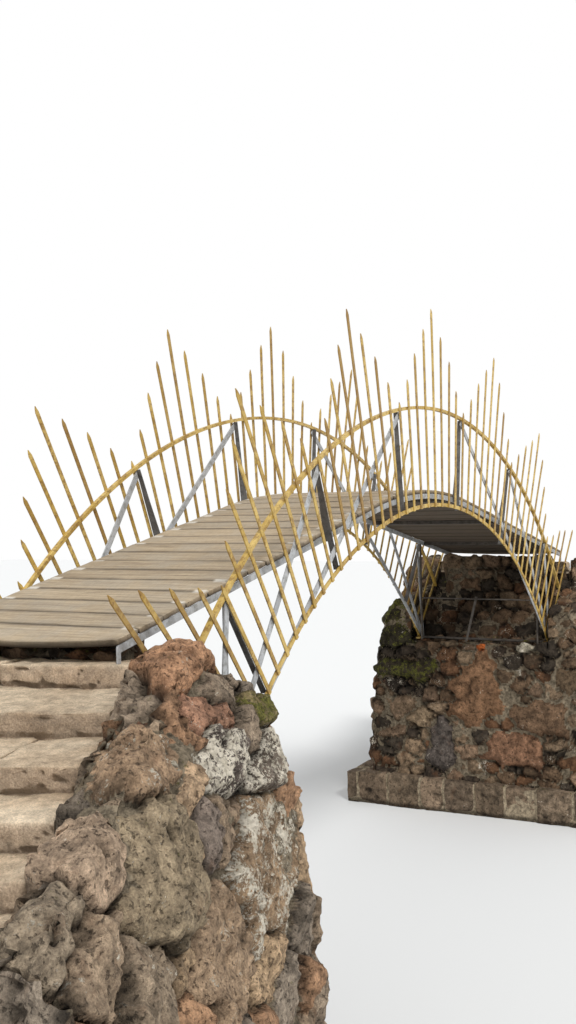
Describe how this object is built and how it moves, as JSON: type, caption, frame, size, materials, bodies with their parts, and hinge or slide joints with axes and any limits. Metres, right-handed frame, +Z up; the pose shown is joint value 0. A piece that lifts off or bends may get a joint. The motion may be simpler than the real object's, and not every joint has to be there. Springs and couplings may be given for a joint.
{
  "type": "arched plank footbridge with ray balustrades on rubble stone abutments",
  "caption": "Arched garden footbridge with iron ribs, radial ray balustrades, a plank deck and rubble stone abutments with steps.",
  "frame": {"origin": "middle of the bridge, on the level that the masonry stands on", "axes": "+X along the bridge from the near to the far end, +Y across it to the left side, +Z up"},
  "size_m": [16.5398, 5.5, 6.495],
  "materials": {
    "gold_paint": "ochre gold paint on flat iron bars, speckled with brown wear",
    "grey_paint": "dark grey weathered paint on the balustrade posts",
    "zinc_grey": "pale zinc grey on struts and deck beams",
    "dark_iron": "bare dark iron tie bars",
    "weathered_wood": "grey-brown weathered deck planks",
    "rubble_stone": "rubble of red-brown, grey and dark volcanic stone in pale mortar",
    "lava_stone": "brown-grey volcanic boulders with cream lichen and moss",
    "dressed_stone": "roughly dressed grey-brown blocks with pale joints",
    "step_stone": "worn pale grey-brown sandstone slabs"
  },
  "bodies": {
    "root": {"footing_near": "dressed_stone", "abutment_near": "rubble_stone", "wing_wall_near_right": "lava_stone", "wing_wall_near_left": "lava_stone", "stair_core_near": "rubble_stone", "sill_stone_near": "step_stone", "steps_near": "step_stone", "foot_tie_near": "dark_iron", "deck_trestle_near": "zinc_grey", "footing_far": "dressed_stone", "abutment_far": "rubble_stone", "wing_wall_far_right": "lava_stone", "wing_wall_far_left": "lava_stone", "stair_core_far": "rubble_stone", "sill_stone_far": "step_stone", "steps_far": "step_stone", "foot_tie_far": "dark_iron", "deck_trestle_far": "zinc_grey", "arch_rib_right": "gold_paint", "handrail_right": "gold_paint", "rays_right_near": "gold_paint", "rays_right_crown": "gold_paint", "rays_right_far": "gold_paint", "posts_right": "grey_paint", "struts_right": "zinc_grey", "deck_beam_right": "zinc_grey", "arch_rib_left": "gold_paint", "handrail_left": "gold_paint", "rays_left_near": "gold_paint", "rays_left_crown": "gold_paint", "rays_left_far": "gold_paint", "posts_left": "grey_paint", "struts_left": "zinc_grey", "deck_beam_left": "zinc_grey", "deck_planks_near": "weathered_wood", "deck_planks_crown": "weathered_wood", "deck_planks_far": "weathered_wood", "deck_cross_bars": "dark_iron"}
  },
  "joints": []
}
